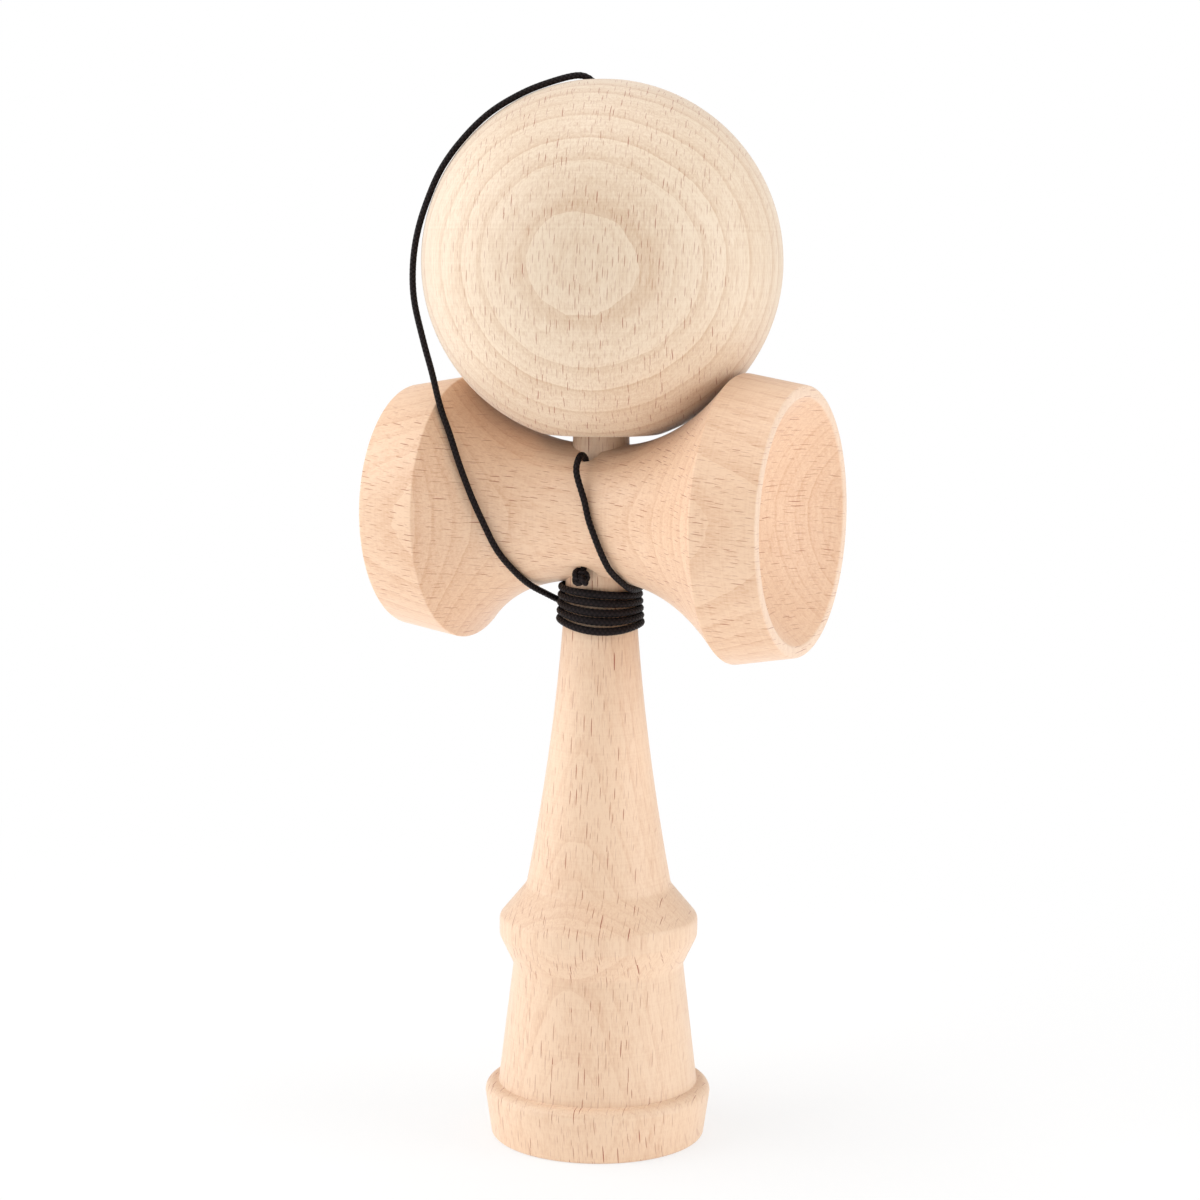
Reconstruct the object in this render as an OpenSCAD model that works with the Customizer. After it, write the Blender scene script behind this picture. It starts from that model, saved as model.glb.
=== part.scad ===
// Cup and ball toy: a turned handle with a spike, a cross piece with two cups and a drilled ball on a string.
// The handle stands on its base rim at z = 0 with its axis on Z. The cups lie along X, the big one at +X.

/* [Base] */
// Radius of the base ring at its widest
base_r = 19.4; // [17.5:0.1:24]
// Radius of the base ring at the floor
base_foot_r = 18.4; // [17:0.1:22]
// Height of the base ring
base_h = 9.4; // [6:0.1:14]
// Rounding of the base ring's upper edge
base_edge_r = 1.8; // [0.5:0.1:2]
// Rounding of the base ring's lower edge
foot_edge_r = 0.8; // [0.3:0.1:1]
// Radius of the cup under the base
base_cup_r = 15.5; // [12:0.1:16]
// Depth of the cup under the base
base_cup_depth = 7; // [4:0.1:9]

/* [Skirt and collar] */
// Radius of the skirt where it meets the base ring
skirt_foot_r = 17.1; // [15:0.1:17.4]
// Radius of the skirt under the collar
skirt_top_r = 14.6; // [12:0.1:16]
// Height of the skirt
skirt_h = 20.8; // [12:0.1:30]
// Radius of the collar
collar_r = 17; // [16:0.1:22]
// Height of the flare from the skirt out to the collar
collar_flare_h = 5; // [3:0.1:9]
// Height of the collar's upright band
collar_band_h = 3.2; // [1:0.1:8]
// Rounding of the collar's two edges
collar_edge_r = 0.5; // [0.2:0.1:0.5]
// Height of the shoulder from the collar in to the neck
shoulder_h = 5.5; // [3:0.1:9]

/* [Neck and spike] */
// Radius at the foot of the neck
neck_foot_r = 12.4; // [10:0.1:14]
// Height of the neck, up to the start of the taper
neck_h = 51.1; // [47:0.1:70]
// Height above the foot at which the neck's two end slopes would cross
neck_bend_h = 26.7; // [18:0.1:30]
// Radius at which the neck's two end slopes would cross
neck_bend_r = 7.3; // [6.5:0.1:8.5]
// Radius at the foot of the taper that carries the cross cups
spike_foot_r = 5.95; // [5:0.05:6.5]
// Radius of the spike at its tip
spike_tip_r = 3; // [2.6:0.1:4]
// Length of the taper and spike above the neck
spike_len = 62.5; // [50:0.1:64]
// Rounding of the spike's tip
spike_edge_r = 0.6; // [0.2:0.1:1]

/* [Cross cups] */
// Height of the cups' axis above the foot of the taper
cross_rise = 12.75; // [12.5:0.05:16]
// Radius of the waist between the cups
waist_r = 11.5; // [10.5:0.1:12]
// How far the thinnest place of the waist lies towards the big cup
waist_shift = 2; // [0:0.1:3]
// Radius of the small cup's widest edge
small_edge_r = 22.5; // [20:0.1:24]
// Distance of the small cup's widest edge from the handle's axis
small_edge_x = 24.5; // [24:0.1:30]
// Radius of the small cup's rim
small_rim_r = 20.7; // [19:0.1:23]
// Width of the band from the small cup's widest edge to its rim
small_band_w = 10.7; // [7:0.1:16]
// Depth of the small cup
small_bowl_depth = 9; // [5:0.1:12]
// How late the waist flares out to the small cup
small_flare_power = 2.9; // [2.4:0.05:3.2]
// Radius of the big cup's widest edge
big_edge_r = 24.1; // [21:0.1:26]
// Distance of the big cup's widest edge from the handle's axis
big_edge_x = 25.6; // [25:0.1:30]
// Radius of the big cup's rim
big_rim_r = 22.3; // [20:0.1:25]
// Width of the band from the big cup's widest edge to its rim
big_band_w = 10.6; // [7:0.1:16]
// Depth of the big cup
big_bowl_depth = 10; // [5:0.1:12]
// How late the waist flares out to the big cup
big_flare_power = 2.1; // [2:0.05:2.8]
// Thickness of the cups' rims
rim_wall = 1.8; // [1.5:0.1:3]
// Rounding of the rims' edges
rim_edge_r = 0.6; // [0.2:0.1:0.7]

/* [Ball] */
// Radius of the ball
ball_r = 30.2; // [28:0.1:32]
// Radius of the hole that takes the spike
hole_r = 9.5; // [8:0.1:11]
// Bevel round the mouth of that hole
hole_bevel = 0.3; // [0.3:0.1:1.5]
// Radius of the string hole in the top of the ball
string_hole_r = 1.5; // [1:0.1:2.2]
// Width of the countersink round the string hole
string_hole_sink = 2; // [1.8:0.1:3]

/* [Bead] */
// Radius of the bead
bead_r = 4; // [3.4:0.1:6]
// Height of the bead
bead_h = 7; // [5.5:0.1:8]
// Rounding of the bead's edges
bead_edge_r = 1.2; // [0.3:0.1:1.2]
// Radius of the string hole through the bead
bead_hole_r = 0.9; // [0.75:0.05:1.2]

/* [String] */
// Diameter of the string
string_d = 1.1; // [0.8:0.05:1.1]
// Radius of the knot under the cross cups
anchor_knot_r = 1.45; // [1:0.05:1.6]
// Radius of the knot under the bead
bead_knot_r = 1.45; // [1.2:0.05:1.6]
// Rise of one turn of the winding
winding_pitch = 1.28; // [1.27:0.01:1.5]
// How much higher the first turn lies on the small cup's side than in the middle
winding_tilt = 0.25; // [0:0.05:0.3]
// How much further each turn sags at the front than the one above it
winding_sag = 0.25; // [0:0.05:0.3]

/* [Clearances] */
// Gap between the ball, the bead and the spike's tip that carries them
seat_gap = 0.3; // [0.1:0.05:0.6]
// Height of the mouth of the ball's hole above the waist
waist_gap = 0.6; // [0.3:0.02:2]
// Gap on the taper between the handle and the cross cups
taper_gap = 0.03; // [0.02:0.01:0.1]
// Gap between the string and the wood that it lies on
string_gap = 0.15; // [0.1:0.01:0.2]
// Gap round the string in its channel and round a knot in its recess
channel_gap = 0.3; // [0.2:0.05:0.5]

/* [Hidden] */

wood_handle = [0.88, 0.70, 0.53];
wood_cups = [0.86, 0.67, 0.48];
wood_ball = [0.87, 0.75, 0.60];
bead_red = [0.62, 0.16, 0.12];
string_black = [0.07, 0.06, 0.06];

// Steps along a rounded edge, along a long curve and round a revolved surface
edge_steps = 6;
curve_steps = 24;
$fn = 96;
// Overlap of a cut past the surface that it opens
cut = 1;

// Heights up the handle
skirt_z = base_h;
flare_z = skirt_z + skirt_h;
band_z = flare_z + collar_flare_h;
shoulder_z = band_z + collar_band_h;
neck_z = shoulder_z + shoulder_h;
spike_z = neck_z + neck_h;
tip_z = spike_z + spike_len;
cross_z = spike_z + cross_rise;

// The string and its channel
string_r = string_d / 2;
string_bend_r = 2 * string_d;
channel_r = string_r + channel_gap;
// A knot's flat lies where its round is as wide as the string
function knot_flat(knot_r) = sqrt(knot_r * knot_r - string_r * string_r);

// Points on a quadratic curve from a to c that leaves and arrives along the lines through b
function curve(a, b, c) =
  [for (i = [0 : curve_steps]) let (t = i / curve_steps)
    (1 - t) * (1 - t) * a + 2 * t * (1 - t) * b + t * t * c];

// Points on an arc round a centre
function arc(centre, radius, from, to, steps) =
  [for (i = [0 : steps]) let (t = i / steps, a = (1 - t) * from + t * to) centre + radius * [cos(a), sin(a)]];

// Radius of the handle on its taper
function taper_r(z) = spike_foot_r + (spike_tip_r - spike_foot_r) * (z - spike_z) / spike_len;

// Radius of the handle on its neck: the share of the way up is the root of the curve's height
function neck_share(z) =
  let (a = neck_h - 2 * neck_bend_h, b = 2 * neck_bend_h, c = neck_z - z)
    (abs(a) < 0.001) ? -c / b : (sqrt(b * b - 4 * a * c) - b) / (2 * a);
function neck_r(z) =
  let (t = neck_share(min(z, spike_z)))
    (1 - t) * (1 - t) * neck_foot_r + 2 * t * (1 - t) * neck_bend_r + t * t * spike_foot_r;
function stem_r(z) = z < spike_z ? neck_r(z) : taper_r(z);

// Radius of the waist at a place along the cups' axis
function waist_at(x) =
  let (from = x - waist_shift)
    from < 0
      ? waist_r + (small_edge_r - waist_r) * pow(-from / (small_edge_x + waist_shift), small_flare_power)
      : waist_r + (big_edge_r - waist_r) * pow(from / (big_edge_x - waist_shift), big_flare_power);
mid_r = waist_at(0);

// The ball's hole is as deep as lets its bead come to rest on the spike with the ball just above the waist
mouth_r = hole_r + hole_bevel;
mouth_z = sqrt(ball_r * ball_r - mouth_r * mouth_r);
ball_z = cross_z + max(waist_at(mouth_r), waist_at(-mouth_r)) + waist_gap + mouth_z;
ball_top_z = ball_z + ball_r;
bead_z = tip_z + seat_gap;
hole_end_z = bead_z + bead_h + seat_gap;
hole_depth = hole_end_z - ball_z + ball_r;
// The bead's recess hides its knot
recess_r = bead_knot_r + channel_gap;
recess_h = 2 * bead_knot_r + channel_gap;
bead_knot_z = bead_z + recess_h - knot_flat(bead_knot_r) - string_gap;

// The channel runs up the front of the bore, beside the taper
function channel_y(z) = -(taper_r(z) + string_gap + string_r);
channel_low_z = cross_z - sqrt(pow(mid_r, 2) - pow(channel_y(cross_z - mid_r), 2));
channel_high_z = cross_z + sqrt(pow(mid_r, 2) - pow(channel_y(cross_z + mid_r), 2));
channel_low = [0, channel_y(channel_low_z), channel_low_z];
channel_high = [0, channel_y(channel_high_z), channel_high_z];
// Depth of the countersinks at the channel's mouths, and how much they widen it
sink_depth = 2.4;
sink_flare = 1.1;

// The knot under the cross cups lies against the neck, at the channel's lower mouth
anchor_y = -(stem_r(cross_z - mid_r) + anchor_knot_r + string_gap);
anchor_z = cross_z - sqrt(pow(mid_r, 2) - pow(anchor_y, 2)) - anchor_knot_r - string_gap;
anchor_at = [0, anchor_y, anchor_z];

// Vectors
function unit(v) = v / norm(v);
function lean(v) = [0, acos(v[2] / norm(v)), atan2(v[1], v[0])];

// A smooth path through route points, with steps between each two, that goes on to the points at its ends
function smooth_path(before, p, after, steps) =
  let (last = len(p) - 1)
    concat([before], [for (i = [0 : last - 1], s = [0 : steps - 1])
      let (
        a = i > 0 ? p[i - 1] : before,
        b = p[i],
        c = p[i + 1],
        d = i < last - 1 ? p[i + 2] : after,
        t = s / steps
      ) b + 0.5 * t * ((c - a) + t * ((2 * a - 5 * b + 4 * c - d) + t * (3 * (b - c) + d - a)))],
      [p[last], after]);

// Direction of a path at each of its points
function path_along(p) =
  let (last = len(p) - 1)
    [for (i = [0 : last]) unit(p[min(i + 1, last)] - p[max(i - 1, 0)])];

// A sideways direction at each point, turned as little as possible from one to the next
function path_across(along) =
  let (first = abs(along[0][2]) < 0.9 ? [0, 0, 1] : [0, 1, 0])
    [for (
      i = 0, side = unit(first - (first * along[0]) * along[0]);
      i < len(along);
      i = i + 1,
      side = i < len(along) ? unit(side - (side * along[i]) * along[i]) : side
    ) side];

// Sides of a free stretch of the string and of its winding
run_sides = 8;
winding_sides = 6;

// One closed tube along a path
module tube(path, radius, sides) {
  along = path_along(path);
  across = path_across(along);
  last = len(path) - 1;
  points = [for (i = [0 : last], k = [0 : sides - 1])
    let (a = 360 * k / sides)
      path[i] + radius * (cos(a) * across[i] + sin(a) * cross(along[i], across[i]))];
  walls = [for (i = [0 : last - 1], k = [0 : sides - 1])
    let (n = (k + 1) % sides, a = i * sides, b = a + sides)
      each [[a + k, b + k, b + n], [a + k, b + n, a + n]]];
  ends = [for (k = [1 : sides - 2])
    each [[0, k, k + 1], [last * sides, last * sides + k + 1, last * sides + k]]];
  polyhedron(points = points, faces = concat(walls, ends), convexity = 10);
}

// The winding's angles, from the photo's far right side round to its far left
winding_from = 100;
winding_to = 1965;
winding_step = 15;
// Height of the first turn at the front, below the cups' axis, and the angle that faces the front
winding_front = -13.25;
winding_front_angle = 294;
// The side on which the turns lie high, and the number of turns after which they lie level
winding_high_angle = 204;
winding_level = 4;
// The last turn swings out over the others, then climbs to where it leaves
swing_from = 1825;
swing_to = 1885;
climb_from = 1845;
climb_to_z = -16.1;

// A share that grows smoothly from 0 to 1 between two values
function ease(from, to, x) =
  let (t = min(1, max(0, (x - from) / (to - from)))) t * t * (3 - 2 * t);
function turn_z(a) =
  let (turn = (a - winding_front_angle) / 360, front = max(0, cos(a - winding_front_angle)))
    winding_front - turn * (winding_pitch + winding_sag * front * front)
      + winding_tilt * (1 - turn / winding_level) * cos(a - winding_high_angle);
function winding_z(a) =
  cross_z + (a < climb_from ? turn_z(a)
    : turn_z(climb_from) + (climb_to_z - turn_z(climb_from)) * ease(climb_from, winding_to, a));
function winding_r(a) =
  stem_r(winding_z(a)) + string_gap + string_r + ease(swing_from, swing_to, a) * winding_pitch;
function winding_at(a) = [winding_r(a) * cos(a), winding_r(a) * sin(a), winding_z(a)];
function winding_along(a) = unit(winding_at(a + 1) - winding_at(a - 1));

turns = [for (a = [winding_from : winding_step : winding_to]) winding_at(a)];
winding_start = turns[0] - string_d * winding_along(winding_from);
winding_end = turns[len(turns) - 1] + string_d * winding_along(winding_to);
winding_path = concat([winding_start], turns, [winding_end]);

// Least gap between turns, measured on the points that lie half a turn or more apart
half_turn = 180 / winding_step;
turn_gap = min([for (i = [0 : len(winding_path) - 1 - half_turn], j = [i + half_turn : len(winding_path) - 1])
  norm(winding_path[i] - winding_path[j])]) - string_d;
echo(str("Least gap between turns of the winding: ", turn_gap, " mm"));

// A quarter bend of the string, from a start going up, over towards an angle seen from above
bend_steps = 2;
function bend(start, angle, sweep) =
  [for (i = [0 : bend_steps]) let (a = sweep * i / bend_steps)
    start + string_bend_r * [(1 - cos(a)) * cos(angle), (1 - cos(a)) * sin(angle), sin(a)]];

// Route points of the front run, from the cups' axis: over the front of the waist and round the neck
front_route = [
  [0.75, -10.5, 7], [2.5, -12, 2.75], [3.5, -12.25, 0], [4.5, -12, -3.25], [5.25, -10.75, -6.5],
  [6, -9, -9], [7.75, -4, -12.5], [7.75, -0.5, -12.9], [6.5, 3.25, -12.6], [3.75, 6, -12.4]
];
// Route points of the side run, from the cups' axis: across the front of the small cup's flare
side_route = [
  [-9.25, -2.25, -14.5], [-10.5, -6.25, -12], [-11.5, -10.25, -9.25], [-13, -13.25, -5.75],
  [-14.5, -15.25, -1.25], [-16.5, -16, 3.5], [-18.75, -15.75, 8.5], [-21, -14.75, 13.25],
  [-23.5, -13.5, 18], [-25, -13.5, 23.5]
];
// Route points of the side run, from the ball's centre: up and over the ball
over_route = [
  [-26.25, -14.25, -13], [-27.5, -15, -6.5], [-27.75, -15, -1], [-27, -15, 4.25], [-25.25, -15, 9.5],
  [-22.5, -14.75, 15.25], [-19, -13.5, 20.25], [-15, -11.5, 24.5], [-10.25, -8.75, 27.75], [-6, -5.75, 29.75]
];
// Steps of a run's path between two route points
run_steps = 2;

// Where the string turns over into the ball
over_end = over_route[len(over_route) - 1];
over_angle = atan2(over_end[1], over_end[0]);
over_low = [0, 0, ball_top_z + string_gap + string_r - string_bend_r];
ball_run_top = over_low - [0, 0, string_d];

// The string leaves the channel straight up and bends out to the front
front_start_z = channel_high_z - string_bend_r;
front_start = [0, channel_y(front_start_z - 2 * string_d), front_start_z];
anchor_run_top = front_start - [0, 0, string_d];
front_angle = -80;
front_sweep = 120;

function shifted(points, z) = [for (p = points) p + [0, 0, z]];
function reversed(points) = [for (i = [len(points) - 1 : -1 : 0]) points[i]];

front_path = smooth_path(
  anchor_run_top,
  concat(
    bend(front_start, front_angle, front_sweep),
    shifted(front_route, cross_z),
    [winding_start - string_d * winding_along(winding_from)]
  ),
  winding_start,
  run_steps
);

side_path = smooth_path(
  winding_end,
  concat(
    [winding_end + string_d * winding_along(winding_to)],
    shifted(side_route, cross_z),
    shifted(over_route, ball_z),
    reversed(bend(over_low, over_angle, 90))
  ),
  ball_run_top,
  run_steps
);

anchor_in_z = channel_low_z + 3 * string_d;
anchor_in = [0, channel_y(anchor_in_z), anchor_in_z];
anchor_lean = unit(channel_low + [0, 0, string_d] - anchor_at);
anchor_path = [
  anchor_at + knot_flat(anchor_knot_r) * anchor_lean,
  anchor_at + (knot_flat(anchor_knot_r) + string_r) * anchor_lean,
  anchor_in,
  anchor_run_top - [0, 0, string_d],
  anchor_run_top
];

// Outline of the handle, from the cup under the base up to the tip
module handle_outline() {
  cup_round = (pow(base_cup_r, 2) + pow(base_cup_depth, 2)) / (2 * base_cup_depth);
  cup_angle = asin(base_cup_r / cup_round);
  cup_centre = [0, base_cup_depth - cup_round];
  polygon(concat(
    reversed(arc(cup_centre, cup_round, 90 - cup_angle, 90, curve_steps)),
    arc([base_foot_r - foot_edge_r, foot_edge_r], foot_edge_r, -90, 0, edge_steps),
    arc([base_r - base_edge_r, base_h - base_edge_r], base_edge_r, 0, 90, edge_steps),
    [[skirt_foot_r, skirt_z], [skirt_top_r, flare_z]],
    arc([collar_r - collar_edge_r, band_z + collar_edge_r], collar_edge_r, -45, 0, edge_steps),
    arc([collar_r - collar_edge_r, shoulder_z - collar_edge_r], collar_edge_r, 0, 45, edge_steps),
    curve([neck_foot_r, neck_z], [neck_bend_r, neck_z + neck_bend_h], [spike_foot_r, spike_z]),
    arc([spike_tip_r - spike_edge_r, tip_z - spike_edge_r], spike_edge_r, 0, 90, edge_steps),
    [[0, tip_z]]
  ));
}

// Outline of one cup's rim and bowl, with the rim at height 0 and the bowl below it
function bowl_outline(rim_r, depth) =
  let (
    mouth = rim_r - rim_wall,
    round = (mouth * mouth + depth * depth) / (2 * depth),
    angle = asin(mouth / round)
  ) concat(
    arc([rim_r - rim_edge_r, -rim_edge_r], rim_edge_r, 0, 90, edge_steps),
    arc([mouth + rim_edge_r, -rim_edge_r], rim_edge_r, 90, 150, edge_steps),
    arc([0, round - depth], round, angle - 92, -90, curve_steps)
  );

// Outline of the cross cups, with the cups' axis upright and the big cup on top
module cups_outline() {
  big = [for (p = bowl_outline(big_rim_r, big_bowl_depth)) p + [0, big_edge_x + big_band_w]];
  small = [for (p = bowl_outline(small_rim_r, small_bowl_depth)) [p[0], -p[1] - small_edge_x - small_band_w]];
  length = small_edge_x + big_edge_x;
  flares = [for (i = [0 : 2 * curve_steps])
    let (x = length * i / (2 * curve_steps) - small_edge_x) [waist_at(x), x]];
  polygon(concat(flares, big, reversed(small)));
}

// The channel and its two countersunk mouths
module string_channel() {
  run = channel_high - channel_low;
  length = norm(run);
  mouth = channel_r + sink_flare * (sink_depth + cut) / sink_depth;
  translate(channel_low) rotate(lean(run)) rotate_extrude() polygon([
    [0, -cut],
    [mouth, -cut],
    [channel_r, sink_depth],
    [channel_r, length - sink_depth],
    [mouth, length + cut],
    [0, length + cut]
  ]);
}

// A knot is a round lump, cut flat where the string goes on
module knot(knot_r) {
  difference() {
    sphere(r = knot_r);
    translate([-knot_r, -knot_r, knot_flat(knot_r)]) cube(2 * knot_r);
  }
}

module handle() {
  color(wood_handle) rotate_extrude() handle_outline();
}

module cross_cups() {
  bore_low = cross_z - mid_r - cut;
  bore_high = cross_z + mid_r + cut;
  color(wood_cups) difference() {
    translate([0, 0, cross_z]) rotate([0, 90, 0]) rotate_extrude() cups_outline();
    translate([0, 0, bore_low])
      cylinder(r1 = taper_r(bore_low) + taper_gap, r2 = taper_r(bore_high) + taper_gap, h = bore_high - bore_low);
    string_channel();
  }
}

module ball() {
  color(wood_ball) difference() {
    translate([0, 0, ball_z]) sphere(r = ball_r);
    translate([0, 0, ball_z - ball_r - cut]) cylinder(r = hole_r, h = hole_depth + cut);
    translate([0, 0, ball_z - mouth_z - cut])
      cylinder(r1 = mouth_r + cut, r2 = hole_r, h = hole_bevel + cut);
    translate([0, 0, hole_end_z - cut]) cylinder(r = string_hole_r, h = ball_top_z - hole_end_z + 2 * cut);
    translate([0, 0, ball_top_z - string_hole_sink])
      cylinder(r1 = string_hole_r, r2 = string_hole_r + string_hole_sink + cut, h = string_hole_sink + cut);
  }
}

module bead() {
  color(bead_red) translate([0, 0, bead_z]) difference() {
    rotate_extrude() polygon(concat(
      [[0, 0]],
      arc([bead_r - bead_edge_r, bead_edge_r], bead_edge_r, -90, 0, edge_steps),
      arc([bead_r - bead_edge_r, bead_h - bead_edge_r], bead_edge_r, 0, 90, edge_steps),
      [[0, bead_h]]
    ));
    translate([0, 0, -cut]) cylinder(r = recess_r, h = recess_h + cut);
    translate([0, 0, -cut]) cylinder(r = bead_hole_r, h = bead_h + 2 * cut);
  }
}

module bead_knot() {
  color(string_black) translate([0, 0, bead_knot_z]) knot(bead_knot_r);
}

module anchor_knot() {
  color(string_black) translate(anchor_at) rotate(lean(anchor_lean)) knot(anchor_knot_r);
}

module string_anchor_run() {
  color(string_black) tube(anchor_path, string_r, run_sides);
}

module string_front_run() {
  color(string_black) tube(front_path, string_r, run_sides);
}

module string_winding() {
  color(string_black) tube(winding_path, string_r, winding_sides);
}

module string_side_run() {
  color(string_black) tube(side_path, string_r, run_sides);
}

module string_ball_run() {
  knot_top = [0, 0, bead_knot_z + knot_flat(bead_knot_r)];
  color(string_black) tube([knot_top, ball_run_top], string_r, run_sides);
}

handle();
cross_cups();
ball();
bead();
bead_knot();
anchor_knot();
string_anchor_run();
string_front_run();
string_winding();
string_side_run();
string_ball_run();
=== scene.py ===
import math

import bmesh
import bpy
import numpy as np
from bpy.props import FloatProperty, FloatVectorProperty, IntProperty, PointerProperty
from mathutils import Matrix, Vector


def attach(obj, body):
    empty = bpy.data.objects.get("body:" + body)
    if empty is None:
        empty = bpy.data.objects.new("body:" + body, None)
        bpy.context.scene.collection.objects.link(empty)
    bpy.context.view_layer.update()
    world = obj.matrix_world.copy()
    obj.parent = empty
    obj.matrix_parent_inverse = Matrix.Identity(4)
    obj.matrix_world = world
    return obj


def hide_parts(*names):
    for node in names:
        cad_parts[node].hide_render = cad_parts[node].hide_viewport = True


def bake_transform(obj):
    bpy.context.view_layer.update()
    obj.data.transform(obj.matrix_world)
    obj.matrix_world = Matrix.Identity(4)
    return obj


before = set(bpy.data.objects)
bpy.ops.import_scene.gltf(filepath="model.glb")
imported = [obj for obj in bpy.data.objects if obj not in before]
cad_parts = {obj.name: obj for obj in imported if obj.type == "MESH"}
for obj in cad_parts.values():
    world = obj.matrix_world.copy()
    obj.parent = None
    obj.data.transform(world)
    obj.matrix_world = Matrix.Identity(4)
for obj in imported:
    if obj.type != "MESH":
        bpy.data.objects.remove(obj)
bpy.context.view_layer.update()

bl_info = {
    "name": "Cup and Ball Toy",
    "version": (1, 0, 0),
    "blender": (4, 5, 0),
    "location": "View3D > Sidebar > Toy",
    "description": "Dresses a cup and ball toy in turned beech and black braided string",
    "category": "Object",
}

MM = 0.001
WHITE = (1.0, 1.0, 1.0, 1.0)

# Sizes that the string's line follows too, in millimetres
NECK_FOOT = 12.4
NECK_LOW = 43.9
NECK_BEND = 7.3
NECK_BEND_HEIGHT = 70.6
SPIKE_FOOT = 5.95
SPIKE_LOW = 95.0
SPIKE_TIP = 3.0
SPIKE_HIGH = 157.5
CUPS_AXIS = 107.75
BALL_CENTRE = 149.648

# How steeply the waist flares out to each cup
SMALL_FLARE = 2.9
BIG_FLARE = 2.1

# Half the floor's width, the lamps' width and where they aim, in metres
FLOOR = 3.0
LAMP_WIDTH = 0.8
LAMP_AIM = (0.0, 0.0, 0.1)

# Edges that turn more than this are shaded sharp
SHARP_ANGLE = math.radians(38)
# Points nearer than this are one point, on the lathe and after a cut
TURNING_MERGE = 0.002 * MM
CUT_MERGE = 0.003 * MM


# Settings

def size(name, description, millimetres):
    """A length that a user may change, given in millimetres."""
    return FloatProperty(
        name=name, description=description, default=millimetres * MM, min=0.0, unit="LENGTH", precision=5
    )


def camera_angle(name, description, degrees):
    """An angle that a user may change, given in degrees."""
    return FloatProperty(name=name, description=description, default=math.radians(degrees), subtype="ANGLE")


def amount(name, description, value, least=0.0):
    """A plain number that a user may change."""
    return FloatProperty(name=name, description=description, default=value, min=least)


def colour(name, description, red, green, blue):
    """A colour that a user may change."""
    return FloatVectorProperty(
        name=name, description=description, default=(red, green, blue), size=3,
        min=0.0, max=1.0, subtype="COLOR",
    )


class HandleSettings(bpy.types.PropertyGroup):
    """Sizes of the handle"""

    base_radius: size("Base radius", "Radius of the base ring at its widest", 19.4)
    base_foot: size("Base foot radius", "Radius of the base ring at the floor", 18.4)
    base_height: size("Base height", "Height of the base ring", 9.4)
    base_cup: size("Base cup radius", "Radius of the cup under the base", 15.5)
    base_cup_depth: size("Base cup depth", "Depth of the cup under the base", 7)
    skirt_foot: size("Skirt foot radius", "Radius of the skirt on the base ring", 17.1)
    skirt_top: size("Skirt top radius", "Radius of the skirt under the collar", 14.6)
    skirt_end: size("Skirt end height", "Height at which the skirt ends", 30.2)
    collar: size("Collar radius", "Radius of the collar", 17)
    collar_low: size("Collar lower edge height", "Height of the collar's lower edge", 35.2)
    collar_high: size("Collar upper edge height", "Height of the collar's upper edge", 38.4)
    neck_foot: size("Neck foot radius", "Radius at the foot of the neck", NECK_FOOT)
    neck_low: size("Neck foot height", "Height of the foot of the neck", NECK_LOW)
    neck_bend: size("Neck bend radius", "Radius at which the neck's end slopes would cross", NECK_BEND)
    neck_bend_height: size(
        "Neck bend height", "Height at which the neck's end slopes would cross", NECK_BEND_HEIGHT
    )
    spike_foot: size("Spike foot radius", "Radius at the foot of the spike's taper", SPIKE_FOOT)
    spike_low: size("Spike foot height", "Height of the foot of the spike's taper", SPIKE_LOW)
    spike_tip: size("Spike tip radius", "Radius of the spike's tip", SPIKE_TIP)
    spike_high: size("Spike tip height", "Height of the spike's tip", SPIKE_HIGH)


class CupsSettings(bpy.types.PropertyGroup):
    """Sizes of the cross cups"""

    height: size("Axis height", "Height of the cups' axis", CUPS_AXIS)
    waist: size("Waist radius", "Radius of the waist between the cups", 11.5)
    waist_shift: size("Waist shift", "How far the thinnest place lies towards the big cup", 2)
    small_edge: size("Small edge radius", "Radius of the small cup's widest edge", 22.5)
    small_edge_at: size("Small edge distance", "Distance of that edge from the handle's axis", 24.5)
    small_rim: size("Small rim radius", "Radius of the small cup's rim", 20.7)
    small_rim_at: size("Small rim distance", "Distance of the small cup's rim from the handle's axis", 35.2)
    small_depth: size("Small cup depth", "Depth of the small cup", 9)
    big_edge: size("Big edge radius", "Radius of the big cup's widest edge", 24.1)
    big_edge_at: size("Big edge distance", "Distance of that edge from the handle's axis", 25.6)
    big_rim: size("Big rim radius", "Radius of the big cup's rim", 22.3)
    big_rim_at: size("Big rim distance", "Distance of the big cup's rim from the handle's axis", 36.2)
    big_depth: size("Big cup depth", "Depth of the big cup", 10)
    rim_wall: size("Rim width", "Width of the flat on the cups' rims", 1.8)


class BallSettings(bpy.types.PropertyGroup):
    """Sizes of the ball and its bead"""

    radius: size("Ball radius", "Radius of the ball", 30.2)
    height: size("Ball height", "Height of the ball's centre", BALL_CENTRE)
    hole: size("Hole radius", "Radius of the hole that takes the spike", 9.5)
    hole_bevel: size("Hole bevel", "Bevel round the mouth of that hole", 0.3)
    hole_end: size("Hole end height", "Height at which that hole ends", 165.1)
    string_hole: size("String hole radius", "Radius of the string hole on top", 1.5)
    string_sink: size("String hole sink", "Width of the countersink round the string hole", 2)
    bead: size("Bead radius", "Radius of the bead in the ball", 4)
    bead_low: size("Bead height", "Height of the bead's lower end", 157.8)
    bead_length: size("Bead length", "Length of the bead", 7)


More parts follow.
